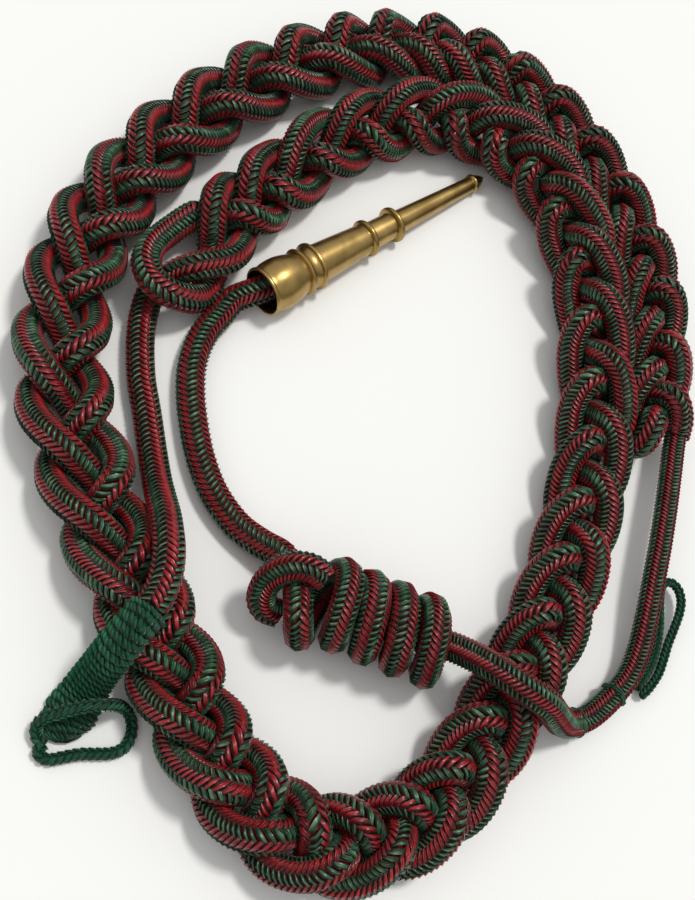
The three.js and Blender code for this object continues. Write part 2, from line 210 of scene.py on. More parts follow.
def coilPoints():
    turn = np.linspace(knot["lastTurn"], knot["firstTurn"], knot["points"] + 1) * math.pi
    axis = np.array(knot["axis"])
    side = np.array([-axis[1], axis[0], 0])
    along = knot["pitch"] * (turn - knot["middleTurn"] * math.pi) / (2 * math.pi)
    return (np.array(knot["centre"]) + along[:, None] * axis
            + knot["radius"] * np.cos(turn)[:, None] * side
            + knot["radius"] * np.sin(turn)[:, None] * np.array([0, 0, 1]))


# Brass tip
tip = {
    "mouth": np.array([-0.0204, 0.0411, 0.00725]),
    "point": np.array([0.0494, 0.0852, 0.00245]),
    "segments": 72,
    "sharpAngle": 40,  # degrees
    "firstBead": 0.004,  # depths from the mouth at which the tip holds the cords off
    "lastBead": 0.080,
    "beadSpacing": 0.003,
    "beadSizes": (0.0066, 0.0025),  # half widths at the first and the last
}
tip["axis"] = (tip["point"] - tip["mouth"]) / np.linalg.norm(tip["point"] - tip["mouth"])


def inTip(depth):
    return tuple(tip["mouth"] + depth * tip["axis"])


# The long cord from the core of the knot to the green sleeve, and the cord from the tucked end of
# the coil to the brass tip, in stretches. A stretch runs to the first point of the next one.
longCord = [
    ("knot_cord", [
        (-0.0090, -0.0437, 0.0110), (0, -0.0477, 0.0110), (0.0080, -0.0512, 0.0110),
        (0.0155, -0.0540, 0.0118), (0.0200, -0.0575, 0.0150), (0.0240, -0.0620, 0.0194),
        (0.0285, -0.0662, 0.0210), (0.0340, -0.0694, 0.0190), (0.0385, -0.0714, 0.0130),
        (0.0425, -0.0721, 0.0074)]),
    ("joint_sleeve", [(0.0472, -0.0720, 0.0046), (0.0505, -0.0714, 0.0041), (0.0545, -0.0694, 0.0040)]),
    ("outer_tail", [
        (0.0592, -0.0662, 0.0041), (0.0635, -0.0625, 0.0045), (0.0673, -0.0565, 0.0056),
        (0.0705, -0.0485, 0.0072), (0.0740, -0.0390, 0.0084), (0.0780, -0.0290, 0.0088),
        (0.0819, -0.0190, 0.0086), (0.0850, -0.0105, 0.0082)]),
    ("plait_strand_1", [*strandPoints(0, -0.75, 48.1), (-0.0315, 0.0485, 0.0044)]),
    ("inner_hook", [
        (-0.0330, 0.0446, 0.0044), (-0.0342, 0.0423, 0.0050), (-0.0368, 0.0394, 0.0064),
        (-0.0405, 0.0373, 0.0094), (-0.0450, 0.0373, 0.0120), (-0.0487, 0.0398, 0.0128),
        (-0.0503, 0.0445, 0.0126), (-0.0490, 0.0500, 0.0110), (-0.0450, 0.0555, 0.0090)]),
    ("plait_strand_3", [*strandPoints(2, 48.2, -0.3)]),
    ("end_bight", [
        (0.0826, 0.0046, 0.0102), (0.0812, 0.0027, 0.0114), (0.0801, 0.0006, 0.0110),
        (0.0793, -0.0010, 0.0092), (0.0790, -0.0013, 0.0070), (0.0790, -0.0005, 0.0048),
        (0.0791, 0.0010, 0.0039)]),
    ("plait_strand_2", [(0.0791, 0.0028, 0.0038), *strandPoints(1, -0.2, 47.25), (-0.0290, 0.0482, 0.0116)]),
    ("sleeve_tail", [
        (-0.0370, 0.0456, 0.0118), (-0.0415, 0.0454, 0.0086), (-0.0455, 0.0442, 0.0050),
        (-0.0482, 0.0419, 0.0039), (-0.0500, 0.0375, 0.0035), (-0.0513, 0.0310, 0.0035),
        (-0.0517, 0.0185, 0.0035), (-0.0506, 0.0080, 0.0035), (-0.0498, -0.0020, 0.0040),
        (-0.0492, -0.0120, 0.0070), (-0.0488, -0.0190, 0.0115), (-0.0485, -0.0255, 0.0165),
        (-0.0486, -0.0320, 0.0196), (-0.0496, -0.0380, 0.0208), (-0.0516, -0.0426, 0.0207),
        (-0.0533, -0.0450, 0.0206)]),
]
coilCord = [
    ("coil_knot", [
        *coilPoints(), (-0.0188, -0.0494, 0.0088), (-0.0197, -0.0490, 0.0128),
        (-0.0201, -0.0463, 0.0158), (-0.0195, -0.0424, 0.0152), (-0.0186, -0.0380, 0.0120),
        (-0.0184, -0.0338, 0.0086)]),
    ("ferret_cord", [
        (-0.0206, -0.0296, 0.0068), (-0.0245, -0.0264, 0.0050), (-0.0300, -0.0213, 0.0036),
        (-0.0350, -0.0135, 0.0035), (-0.0378, -0.0050, 0.0035), (-0.0392, 0.0040, 0.0035),
        (-0.0396, 0.0144, 0.0035), (-0.0384, 0.0230, 0.0035), (-0.0346, 0.0312, 0.0035),
        (-0.0296, 0.0368, 0.0040), (-0.0260, 0.0404, 0.0052), (-0.0206, 0.0424, 0.0064),
        inTip(0.012), inTip(0.021)]),
]
bightCord = [
    ("knot_bight", [
        (-0.0144, -0.0384, 0.0176), (-0.0168, -0.0370, 0.0191), (-0.0201, -0.0361, 0.0187),
        (-0.0236, -0.0364, 0.0162), (-0.0262, -0.0380, 0.0130), (-0.0270, -0.0407, 0.0100),
        (-0.0256, -0.0428, 0.0080), (-0.0230, -0.0436, 0.0070)]),
]

# Green sleeve: the middle of each section, its half width and half height
sleeveSections = np.array([
    (-0.0535, -0.0452, 0.0206, 0.0044, 0.0042),
    (-0.0568, -0.0489, 0.0204, 0.0045, 0.0042),
    (-0.0604, -0.0527, 0.0172, 0.0047, 0.0039),
    (-0.0639, -0.0560, 0.0100, 0.0048, 0.0030),
    (-0.0669, -0.0594, 0.0037, 0.0054, 0.0021),
    (-0.0693, -0.0626, 0.0017, 0.0060, 0.0019),
    (-0.0707, -0.0653, 0.0015, 0.0051, 0.0018),
    (-0.0712, -0.0677, 0.0012, 0.0036, 0.0015),
    (-0.0713, -0.0689, 0.0010, 0.0020, 0.0009),
])

# How cords press on each other
press = {
    "spacing": 0.0067,  # least distance between the middles of two cords
    "floor": 0.0035,  # least height of a cord's middle
    "beadSpacing": 0.002,
    "beadsApart": 8,  # beads of one cord that are nearer in order don't press each other
    "nearDistance": 0.011,
    "passes": 160,
    "give": 0.7,  # share of the lack that one pass takes up
    "spreading": 0.35,  # how far a bead follows its neighbours
}
pressingSections = 5  # of the sleeve, from its start, which lie over the plait


# A cord as beads along its route; the beads at its ends are held where they are
def layCord(stretches, heldAtStart=2, heldAtEnd=2):
    points = np.array([point for _, route in stretches for point in route], float)
    gaps = np.linalg.norm(np.diff(points, axis=0), axis=1)
    parts = np.maximum(1, np.round(gaps / press["beadSpacing"]).astype(int))
    at = np.concatenate([order + np.arange(count) / count for order, count in enumerate(parts)])
    beads = np.vstack([curvePoint(points, at), points[-1:]])
    firstBead = np.concatenate([[0], np.cumsum(parts)])
    firstPoint = np.cumsum([0] + [len(route) for _, route in stretches])
    starts = [int(firstBead[min(order, len(parts))]) for order in firstPoint]
    held = np.zeros(len(beads), bool)
    held[:heldAtStart] = True
    held[-heldAtEnd:] = True
    return {"names": [name for name, _ in stretches], "starts": starts, "beads": beads, "held": held}


# Cords that lie too close press each other aside until they only touch, and rest on the table
def settle(cords, obstacles):
    home = np.vstack([cord["beads"] for cord in cords] + [points for points, _ in obstacles])
    chain = np.concatenate([np.full(len(points), number) for number, points in enumerate(
        [cord["beads"] for cord in cords] + [points for points, _ in obstacles])])
    order = np.arange(len(home))
    moving = sum(len(cord["beads"]) for cord in cords)
    held = np.ones(len(home), bool)
    held[:moving] = np.concatenate([cord["held"] for cord in cords])
    radius = np.full(len(home), press["spacing"] / 2)
    radius[moving:] = np.concatenate([radii for _, radii in obstacles])
    distance = np.linalg.norm(home[:, None] - home[None], axis=2)
    close = (chain[:, None] == chain[None]) & (np.abs(order[:, None] - order[None]) < press["beadsApart"])
    pairs = (distance < press["nearDistance"]) & ~close & ~(held[:, None] & held[None])
    first, second = np.nonzero(np.triu(pairs, 1))
    shareFirst = np.where(held[second], 1, 0.5)[:, None]
    shareSecond = np.where(held[first], 1, 0.5)[:, None]
    inside = np.flatnonzero((chain[1:-1] == chain[:-2]) & (chain[1:-1] == chain[2:]) & ~held[1:-1]) + 1
    shift = np.zeros_like(home)
    for _ in range(press["passes"]):
        place = home + shift
        apart = place[first] - place[second]
        length = np.linalg.norm(apart, axis=1)
        lack = np.maximum(0, radius[first] + radius[second] - length)
        push = apart * (press["give"] * lack / length)[:, None]
        np.add.at(shift, first, push * shareFirst)
        np.add.at(shift, second, -push * shareSecond)
        shift[held] = 0
        level = (shift[inside - 1] + shift[inside + 1]) / 2
        shift[inside] += press["spreading"] * (level - shift[inside])
        sunk = np.maximum(0, press["floor"] - home[:, 2] - shift[:, 2])
        sunk[held] = 0
        shift[:, 2] += sunk
    place = home + shift
    start = 0
    for cord in cords:
        cord["beads"] = place[start:start + len(cord["beads"])]
        start += len(cord["beads"])


# Close points along a cord with a frame at each, carried along without twist
def frameCord(points, samplesPerPoint=5):
    at = np.linspace(0, len(points) - 1, (len(points) - 1) * samplesPerPoint + 1)
    place = curvePoint(points, at)
    ahead = np.gradient(place, axis=0)
    ahead /= np.linalg.norm(ahead, axis=1, keepdims=True)
    length = np.concatenate([[0], np.cumsum(np.linalg.norm(np.diff(place, axis=0), axis=1))])
    side = np.zeros_like(place)
    now = np.cross(ahead[0], (0, 0, 1))
    for number, direction in enumerate(ahead):
        now = now - direction * now.dot(direction)
        now = now / math.sqrt(now.dot(now))
        side[number] = now
    up = np.cross(ahead, side)
    return {"at": at, "place": place - wholeMiddle, "length": length, "side": side, "up": up}


cords = {
    "long": layCord(longCord, heldAtEnd=5),
    "coil": layCord(coilCord, heldAtEnd=12),
    "bight": layCord(bightCord),
}
tipDepths = np.arange(tip["firstBead"], tip["lastBead"], tip["beadSpacing"])
settle(list(cords.values()), [
    (sleeveSections[:pressingSections, :3], sleeveSections[:pressingSections, 4]),
    (np.array([inTip(depth) for depth in tipDepths]), np.linspace(*tip["beadSizes"], len(tipDepths))),
])
for cord in cords.values():
    cord.update(frameCord(cord["beads"]))
print("cords laid", {name: round(float(cord["length"][-1]), 3) for name, cord in cords.items()})


# Colours are written as seen and turned linear here
def colour(code):
    parts = [int(code[place:place + 2], 16) / 255 for place in (1, 3, 5)]
    return (*[part / 12.92 if part <= 0.04045 else ((part + 0.055) / 1.055) ** 2.4 for part in parts], 1)


# Adds a node, sets its settings and input values, and links inputs to other nodes' sockets
def addNode(tree, kind, inputs=(), links=(), **settings):
    node = tree.nodes.new(kind)
    for name, value in settings.items():
        setattr(node, name, value)
    for name, value in dict(inputs).items():
        node.inputs[name].default_value = value
    for name, socket in dict(links).items():
        tree.links.new(socket, node.inputs[name])
    return node


def newMaterial(name, values):
    material = bpy.data.materials.new(name)
    material.use_nodes = True
    shader = material.node_tree.nodes["Principled BSDF"]
    for socket, value in values.items():
        shader.inputs[socket].default_value = value
    return material, material.node_tree, shader


# Viscose braiding thread: soft twisted filament with a silky gleam along each float, fine ply lines
# with painted shade in their grooves, and painted shade where a float dives under its neighbours
thread = {
    "blotchesPerMetre": 260,  # patches of tone about 4 mm across
    "twist": 0.3,  # turns of the plies along a float
    # near-black painted shade for the ply grooves and for the dived ends of the floats
    "paintedShade": "#0D0A0A",
    "plyEdges": (-1, 0.3),  # of the ply wave, from the darkest painted shade to full colour
    "plyShadeDepth": 0.5,  # share of the colour that is left under the painted shade on a ply line
    "sunkEdges": (0.15, 0.9),  # of the float's height, over which the painted shade fades from its dived ends to its crown
    "bumpHeight": 0.00012,
}
mixFactor, mixFirst, mixSecond, mixColour = 0, 6, 7, 2  # sockets of a Mix node that mixes colours


# sunk is the share of the colour left under the painted shade at the dived ends of a float
def threadMaterial(name, dark, mid, light, plies=4, rough=0.34, sheen=0.05, gloss=0.6, sunk=0.04):
    material, tree, shader = newMaterial(name, {
        "Roughness": rough,
        "Sheen Weight": sheen,
        "Sheen Roughness": 0.35,
        "Specular IOR Level": gloss,
    })
    tone = addNode(tree, "ShaderNodeAttribute", attribute_name="tone")
    depth = addNode(tree, "ShaderNodeAttribute", attribute_name="depth")
    place = addNode(tree, "ShaderNodeTexCoord")
    blotch = addNode(tree, "ShaderNodeTexNoise", {"Scale": thread["blotchesPerMetre"], "Detail": 2},
                     {"Vector": place.outputs["Object"]})
    both = addNode(tree, "ShaderNodeMath", {}, {0: tone.outputs["Fac"], 1: blotch.outputs["Fac"]},
                   operation="ADD")
    half = addNode(tree, "ShaderNodeMath", {1: 0.5}, {0: both.outputs[0]}, operation="MULTIPLY")
    ramp = addNode(tree, "ShaderNodeValToRGB", {}, {"Fac": half.outputs[0]})
    ramp.color_ramp.elements[0].position = 0.2
    ramp.color_ramp.elements[0].color = colour(dark)
    ramp.color_ramp.elements[1].position = 0.8
    ramp.color_ramp.elements[1].color = colour(light)
    ramp.color_ramp.elements.new(0.5).color = colour(mid)
    turns = addNode(tree, "ShaderNodeSeparateXYZ", {}, {"Vector": place.outputs["UV"]})
    twist = addNode(tree, "ShaderNodeMath", {1: thread["twist"]}, {0: turns.outputs["Y"]},
                    operation="MULTIPLY")
    around = addNode(tree, "ShaderNodeMath", {}, {0: turns.outputs["X"], 1: twist.outputs[0]},
                     operation="ADD")
    scaled = addNode(tree, "ShaderNodeMath", {1: 2 * math.pi * plies}, {0: around.outputs[0]},
                     operation="MULTIPLY")
    wave = addNode(tree, "ShaderNodeMath", {}, {0: scaled.outputs[0]}, operation="SINE")
    # painted shade along the grooves between the plies
    ply = addNode(tree, "ShaderNodeMapRange", {
        "From Min": thread["plyEdges"][0],
        "From Max": thread["plyEdges"][1],
        "To Min": thread["plyShadeDepth"],
        "To Max": 1,
    }, {"Value": wave.outputs[0]})
    # painted shade at the dived ends of each float, where it goes under its neighbours
    shade = addNode(tree, "ShaderNodeMapRange", {
        "From Min": thread["sunkEdges"][0],
        "From Max": thread["sunkEdges"][1],
        "To Min": sunk,
        "To Max": 1,
    }, {"Value": depth.outputs["Fac"]})
    amount = addNode(tree, "ShaderNodeMath", {}, {0: ply.outputs["Result"], 1: shade.outputs["Result"]},
                     operation="MULTIPLY")
    # mixes the painted shade into the thread's colour
    final = addNode(tree, "ShaderNodeMix", {mixFirst: colour(thread["paintedShade"])},
                    {mixFactor: amount.outputs[0], mixSecond: ramp.outputs["Color"]}, data_type="RGBA")
    tree.links.new(final.outputs[mixColour], shader.inputs["Base Color"])
    bump = addNode(tree, "ShaderNodeBump", {"Strength": 0.7, "Distance": thread["bumpHeight"]},
                   {"Height": wave.outputs[0]})
    tree.links.new(bump.outputs["Normal"], shader.inputs["Normal"])
    return material


# Core of the braid: thread in deep shade, which shows only as dark gaps
coreShade = {
    "fuzzPerMetre": 900,  # about 1 mm across
    "dark": "#070707",
}


def coreMaterial(name, code):
    material, tree, shader = newMaterial(name, {"Roughness": 0.9, "Specular IOR Level": 0.1})
    place = addNode(tree, "ShaderNodeTexCoord")
    fuzz = addNode(tree, "ShaderNodeTexNoise", {"Scale": coreShade["fuzzPerMetre"], "Detail": 2},
                   {"Vector": place.outputs["Object"]})
    ramp = addNode(tree, "ShaderNodeValToRGB", {}, {"Fac": fuzz.outputs["Fac"]})
    ramp.color_ramp.elements[0].color = colour(coreShade["dark"])
    ramp.color_ramp.elements[1].color = colour(code)
    tree.links.new(ramp.outputs["Color"], shader.inputs["Base Color"])
    return material


# Turned brass with a thin lacquer: satin, with fine tool lines round the axis and duller patches
turnedBrass = {
    "toolLinesPerMetre": 5200,  # about 0.2 mm apart, as coarse as it needs to show
    "patchesPerMetre": 190,  # about 5 mm across
    "dull": "#9A8049",
    "bright": "#C2A267",
    "roughness": (0.25, 0.42),
    "lineDepth": 0.00003,
}


def brassMaterial():
    material, tree, shader = newMaterial("turned_brass", {"Metallic": 1.0, "Specular IOR Level": 0.5})
    along = addNode(tree, "ShaderNodeAttribute", attribute_name="along")
    place = addNode(tree, "ShaderNodeTexCoord")
    lines = addNode(tree, "ShaderNodeTexNoise", {"Scale": turnedBrass["toolLinesPerMetre"], "Detail": 3},
                    {"W": along.outputs["Fac"]}, noise_dimensions="1D")
    patches = addNode(tree, "ShaderNodeTexNoise", {"Scale": turnedBrass["patchesPerMetre"], "Detail": 4},
                      {"Vector": place.outputs["Object"]})
    ramp = addNode(tree, "ShaderNodeValToRGB", {}, {"Fac": patches.outputs["Fac"]})
    ramp.color_ramp.elements[0].position = 0.3
    ramp.color_ramp.elements[0].color = colour(turnedBrass["dull"])
    ramp.color_ramp.elements[1].position = 0.75
    ramp.color_ramp.elements[1].color = colour(turnedBrass["bright"])
    tree.links.new(ramp.outputs["Color"], shader.inputs["Base Color"])
    least, most = turnedBrass["roughness"]
    rough = addNode(tree, "ShaderNodeMapRange", {"To Min": least, "To Max": most},
                    {"Value": patches.outputs["Fac"]})
    tree.links.new(rough.outputs["Result"], shader.inputs["Roughness"])
    bump = addNode(tree, "ShaderNodeBump", {"Strength": 0.25, "Distance": turnedBrass["lineDepth"]},
                   {"Height": lines.outputs["Fac"]})
    tree.links.new(bump.outputs["Normal"], shader.inputs["Normal"])
    return material


materials = {
    "red": threadMaterial("crimson_viscose_thread", "#820A11", "#AE121B", "#C42A2E"),
    "green": threadMaterial("bottle_green_viscose_thread", "#1C472A", "#336843", "#74A279"),
    "underRed": coreMaterial("shaded_green_thread", "#12301D"),  # green threads pass under the red ones
    "underGreen": coreMaterial("shaded_crimson_thread", "#7A0E16"),
    # the worked cotton gets a lighter painted shade at the dived ends of its stitches
    "cover": threadMaterial("worked_green_cotton", "#145236", "#1E6B48", "#338561",
                            plies=3, rough=0.65, sheen=0.1, gloss=0.25, sunk=0.3),
    "coverCore": coreMaterial("shaded_cover_core", "#0F4029"),
    "brass": brassMaterial(),
}

# Braids. pick is about the step from one float to the next, lean the float's angle to the cord in
# degrees, stagger how far in picks every second column lies ahead, fullness a share of the width,
# half sizes are the float's own, and dive is how far its ends go under. Where there are two values,
# they are for the first column and the second, and so on in turn.
cordBraid = {
    "radius": 0.0036,
    "coreRadius": 0.00325,
    "columns": 8,
    "pick": 0.00118,
    "lean": (-61, 67),
    "stagger": 0.5,
    "halfLength": 0.0022,
    "halfWidth": 0.0006,
    "fullness": (1.04, 0.86),
    "halfThick": 0.00047,
    "dive": 0.0005,
    "materials": ("red", "green", "underRed", "underGreen"),
}
tailBraid = dict(cordBraid, radius=0.0035, coreRadius=0.0031, pick=0.00145, lean=(-57, 63),
                 halfWidth=0.00068)
thinBraid = dict(cordBraid, radius=0.0028, coreRadius=0.00245, pick=0.00105, lean=(-66, 66),
                 halfLength=0.0017, halfWidth=0.00052, halfThick=0.00043)
knotBraid = dict(cordBraid, radius=0.0033, coreRadius=0.0029, pick=0.00105, halfLength=0.002,
                 halfWidth=0.00053)
hookBraid = dict(cordBraid, pick=0.0014, halfWidth=0.0007)
braids = {
    "inner_hook": hookBraid,
    "joint_sleeve": dict(thinBraid, radius=0.003, coreRadius=0.0026),
    "knot_cord": knotBraid,
    "outer_tail": thinBraid,
    "sleeve_tail": tailBraid,
    "ferret_cord": tailBraid,
    "coil_knot": knotBraid,
    "knot_bight": knotBraid,
}
loopBraid = {
    "radius": 0.001,
    "coreRadius": 0.00085,
    "columns": 4,
    "pick": 0.0013,
    "lean": (-38, 38),
    "stagger": 0.5,
    "halfLength": 0.00125,
    "halfWidth": 0.00055,
    "fullness": (1, 1),
    "halfThick": 0.0005,
    "dive": 0.0002,
    "materials": ("cover", "cover", "coverCore", "coverCore"),
}
randomTone = np.random.default_rng(11)


# A float is a small pointed grain of thread with a ridge on its outside
floatShape = {
    "sides": 3,
    "rings": 4,
    "shoulder": 1.22,  # how much fuller it is near its ends
    "shoulderAt": (0.5, 0.9),  # of the half length
}
floatShape["points"] = floatShape["sides"] * (floatShape["rings"] - 1) + 2


# The floats side by side round the cord, laid flat: x along the cord, y round it, z out of it
def makeFloats(braid):
    floats = bmesh.new()
    floats.loops.layers.uv.new("UVMap")
    columnWidth = 2 * math.pi * braid["radius"] / braid["columns"]
    onItsSide = Matrix.Rotation(-math.pi / 2, 4, "Y")
    shoulderStart, shoulderEnd = floatShape["shoulderAt"]
    for column in range(braid["columns"]):
        second = column % 2
        middle = Vector((braid["pick"] * braid["stagger"] * second, (column + 0.5) * columnWidth, 0))
        grain = bmesh.ops.create_uvsphere(floats, u_segments=floatShape["sides"],
                                          v_segments=floatShape["rings"], radius=1, matrix=onItsSide,
                                          calc_uvs=True)
        for vert in grain["verts"]:
            if shoulderStart < abs(vert.co.x) < shoulderEnd:
                vert.co.y *= floatShape["shoulder"]
                vert.co.z *= floatShape["shoulder"]
        lean = Matrix.Rotation(math.radians(braid["lean"][second]), 4, "Z")
        width = braid["halfWidth"] * braid["fullness"][second]
        size = Matrix.Diagonal((braid["halfLength"], width, braid["halfThick"], 1))
        bmesh.ops.transform(floats, matrix=Matrix.Translation(middle) @ lean @ size, verts=grain["verts"])
        for vert in grain["verts"]:
            reach = (vert.co - middle).length / braid["halfLength"]
            vert.co.z -= braid["dive"] * reach ** 2
            for face in vert.link_faces:
                face.material_index = second
                face.smooth = True
    mesh = bpy.data.meshes.new("floats")
    floats.to_mesh(mesh)
    floats.free()
    return mesh


# The floats repeated along a straight length, by an array
def repeatFloats(braid, count, step):
    mesh = makeFloats(braid)
    row = bpy.data.objects.new("floats", mesh)
    bpy.context.scene.collection.objects.link(row)
    array = row.modifiers.new("picks", "ARRAY")
    array.count = count
    array.use_relative_offset = False
    array.use_constant_offset = True
    array.constant_offset_displace = (step, 0, 0)
    graph = bpy.context.evaluated_depsgraph_get()
    repeated = bpy.data.meshes.new_from_object(row.evaluated_get(graph))
    bpy.data.objects.remove(row)
    bpy.data.meshes.remove(mesh)
    return repeated


def meshPoints(mesh):
    flat = np.empty(len(mesh.vertices) * 3)
    mesh.vertices.foreach_get("co", flat)
    return flat.reshape(-1, 3)


def setPoints(mesh, points):
    mesh.vertices.foreach_set("co", points.ravel())
    mesh.update()


# A sheet laid flat for the core, x along and y round, to be rolled up with the floats
def makeCore(braid, start, end, step=0.003):
    core = bmesh.new()
    rows = max(2, round((end - start) / step))
    around = 2 * math.pi * braid["radius"]
    place = Matrix.Translation(((start + end) / 2, around / 2, braid["coreRadius"] - braid["radius"]))
    size = Matrix.Diagonal(((end - start) / 2, around / 2, 1, 1))
    bmesh.ops.create_grid(core, x_segments=rows, y_segments=braid["columns"], size=1, matrix=place @ size)
    for face in core.faces:
        column = int(face.calc_center_median().y / around * braid["columns"])
        face.material_index = 2 + column % 2  # the last two of the braid's four materials
        face.smooth = True
    mesh = bpy.data.meshes.new("core")
    core.to_mesh(mesh)
    core.free()
    return mesh


leastHeight = 0.0001  # threads that would sink into the table are pressed flat on it


# Puts flat points round a cord, wide and high from its middle, and bends them along it
def wrapRound(points, braid, cord, wide, high):
    angle = points[:, 1] / braid["radius"]
    place, side, up = (
        np.column_stack([np.interp(points[:, 0], cord["length"], cord[part][:, axis]) for axis in range(3)])
        for part in ("place", "side", "up"))
    rolled = place + side * (wide * np.cos(angle))[:, None] + up * (high * np.sin(angle))[:, None]
    rolled[:, 2] = np.maximum(rolled[:, 2], leastHeight)
    return rolled


def rollUp(points, braid, cord):
    out = braid["radius"] + points[:, 2]
    return wrapRound(points, braid, cord, out, out)


mergeDistance = 1e-7


def closeCore(mesh):
    core = bmesh.new()
    core.from_mesh(mesh)
    bmesh.ops.remove_doubles(core, verts=core.verts, dist=mergeDistance)
    bmesh.ops.holes_fill(core, edges=[edge for edge in core.edges if edge.is_boundary], sides=0)
    bmesh.ops.recalc_face_normals(core, faces=core.faces)
    core.to_mesh(mesh)
    core.free()


# A braided piece between two lengths of a cord, with a whole number of picks. It stands for the
# node of the same name, unless replaces is False.
def braidedPiece(name, braid, cord, start, end, rolling=rollUp, replaces=True):
    count = max(1, round((end - start) / braid["pick"]))
    step = (end - start) / count
    floats = repeatFloats(braid, count, step)
    flat = meshPoints(floats)
    grain = np.arange(len(flat)) // floatShape["points"]
    tone = randomTone.random(grain[-1] + 1)[grain]
    # the float's height, which the thread materials turn into painted shade at its dived ends
    depth = np.clip((flat[:, 2] + braid["dive"]) / (braid["dive"] + braid["halfThick"]), 0, 1)
    flat[:, 0] += start + step / 4  # the first two columns lie evenly inside the first pick
    setPoints(floats, rolling(flat, braid, cord))
    for label, values in (("tone", tone), ("depth", depth)):
        attribute = floats.attributes.new(label, "FLOAT", "POINT")
        attribute.data.foreach_set("value", values.astype(np.float32))
    core = makeCore(braid, start, end)
    setPoints(core, rolling(meshPoints(core), braid, cord))
    closeCore(core)
    both = bmesh.new()
    both.from_mesh(floats)
    both.from_mesh(core)
    mesh = bpy.data.meshes.new(name)
    both.to_mesh(mesh)
    both.free()
    bpy.data.meshes.remove(floats)
    bpy.data.meshes.remove(core)
    for label in braid["materials"]:
        mesh.materials.append(materials[label])
    return addPiece(name, mesh, name if replaces else None)


def addPiece(name, mesh, node):
    piece = bpy.data.objects.new(name + "_piece", mesh)
    bpy.context.scene.collection.objects.link(piece)
    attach(piece, "root")
    if node:
        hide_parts(node)
    return piece


# Cords that lie free, braided stretch by stretch; the joint sleeve's cord and ends are kept for its bands
for cord in cords.values():
    for number, name in enumerate(cord["names"]):
        starts = cord["starts"][number:number + 2]
        ends = [float(np.interp(start, cord["at"], cord["length"])) for start in starts]
        piece = braidedPiece(name, braids.get(name, cordBraid), cord, *ends)
        if name == "joint_sleeve":
            jointCord, jointEnds = cord, ends
print("cords braided")

# Green thread wound round both ends of the joint sleeve
bandBraid = {
    "radius": 0.0034,
    "coreRadius": 0.0031,
    "columns": 6,
    "pick": 0.0006,
    "lean": (-84, 84),
    "stagger": 0.5,
    "halfLength": 0.0022,
    "halfWidth": 0.00034,
    "fullness": (1, 1),
    "halfThick": 0.0004,
    "dive": 0.0002,
    "materials": ("cover", "cover", "coverCore", "coverCore"),
}
bandWidth = 0.0012
for number, middle in enumerate(jointEnds, start=1):
    bandEnds = (middle - bandWidth / 2, middle + bandWidth / 2)
    braidedPiece(f"joint_band_{number}", bandBraid, jointCord, *bandEnds, replaces=False)
print("joint bands wound")

# Green button loops: thread worked into a small round braid. The joint's loop is kept as it was
# picked in the photo, and the sleeve's loop as places in metres.
jointLoopPicks = [
    (641, 696, 2.2), (648, 690, 2.4), (658, 675, 2.4), (663.5, 660, 2.6), (668, 645, 3.0),
    (674, 629, 3.4), (679.5, 613, 3.8), (681, 600, 4.0), (677, 588, 4.0), (669, 582, 3.8),
    (662, 586, 3.4), (659.5, 598, 3.2), (659.5, 614, 3.0), (658.5, 632, 2.8), (656, 648, 2.4),
    (651, 664, 2.2), (643, 679, 2.0), (636, 689, 2.0),
]
loopRoutes = {
    "joint_button_loop": castPicks(jointLoopPicks),
    "sleeve_button_loop": [
        (-0.0749, -0.0692, 0.0016), (-0.0764, -0.0678, 0.0016), (-0.0767, -0.0656, 0.0028),
        (-0.0751, -0.0640, 0.0048), (-0.0727, -0.0636, 0.0062), (-0.0704, -0.0632, 0.0072),
        (-0.0679, -0.0629, 0.0084),
        (-0.0654, -0.0628, 0.0094), (-0.0629, -0.0628, 0.0093), (-0.0604, -0.0626, 0.0072),
        (-0.0583, -0.0626, 0.0038), (-0.0568, -0.0639, 0.0018), (-0.0563, -0.0659, 0.0013),
        (-0.0566, -0.0684, 0.0013), (-0.0579, -0.0707, 0.0013), (-0.0605, -0.0718, 0.0013),
        (-0.0637, -0.0718, 0.0013), (-0.0675, -0.0716, 0.0013), (-0.0712, -0.0720, 0.0013),
        (-0.0739, -0.0723, 0.0013), (-0.0758, -0.0715, 0.0013), (-0.0762, -0.0700, 0.0015),
        (-0.0748, -0.0690, 0.0017)],
}
loopBraids = {
    "joint_button_loop": loopBraid,
    "sleeve_button_loop": dict(loopBraid, radius=0.0012, coreRadius=0.00105, pick=0.0016,
                               halfLength=0.0015, halfWidth=0.0007),
}
samplesOnShortRoutes = 12
for name, route in loopRoutes.items():
    line = frameCord(np.array(route), samplesOnShortRoutes)
    braidedPiece(name, loopBraids[name], line, 0, float(line["length"][-1]))
print("button loops worked")

# Green sleeve: rows of small slanted stitches over the end of the cord
sleeveStitch = {
    "radius": 0.0043,
    "coreRadius": 0.0040,
    "columns": 22,
    "pick": 0.0018,
    "lean": (-48, -48),
    "stagger": 0.1,
    "halfLength": 0.00125,
    "halfWidth": 0.00068,
    "fullness": (1, 1),
    "halfThick": 0.0008,
    "dive": 0.0004,
    "materials": ("cover", "cover", "coverCore", "coverCore"),
}


def rollSleeve(points, braid, line):
    wide, high = (np.interp(points[:, 0], line["length"], line[size]) + points[:, 2]
                  for size in ("wide", "high"))
    return wrapRound(points, braid, line, wide, high)


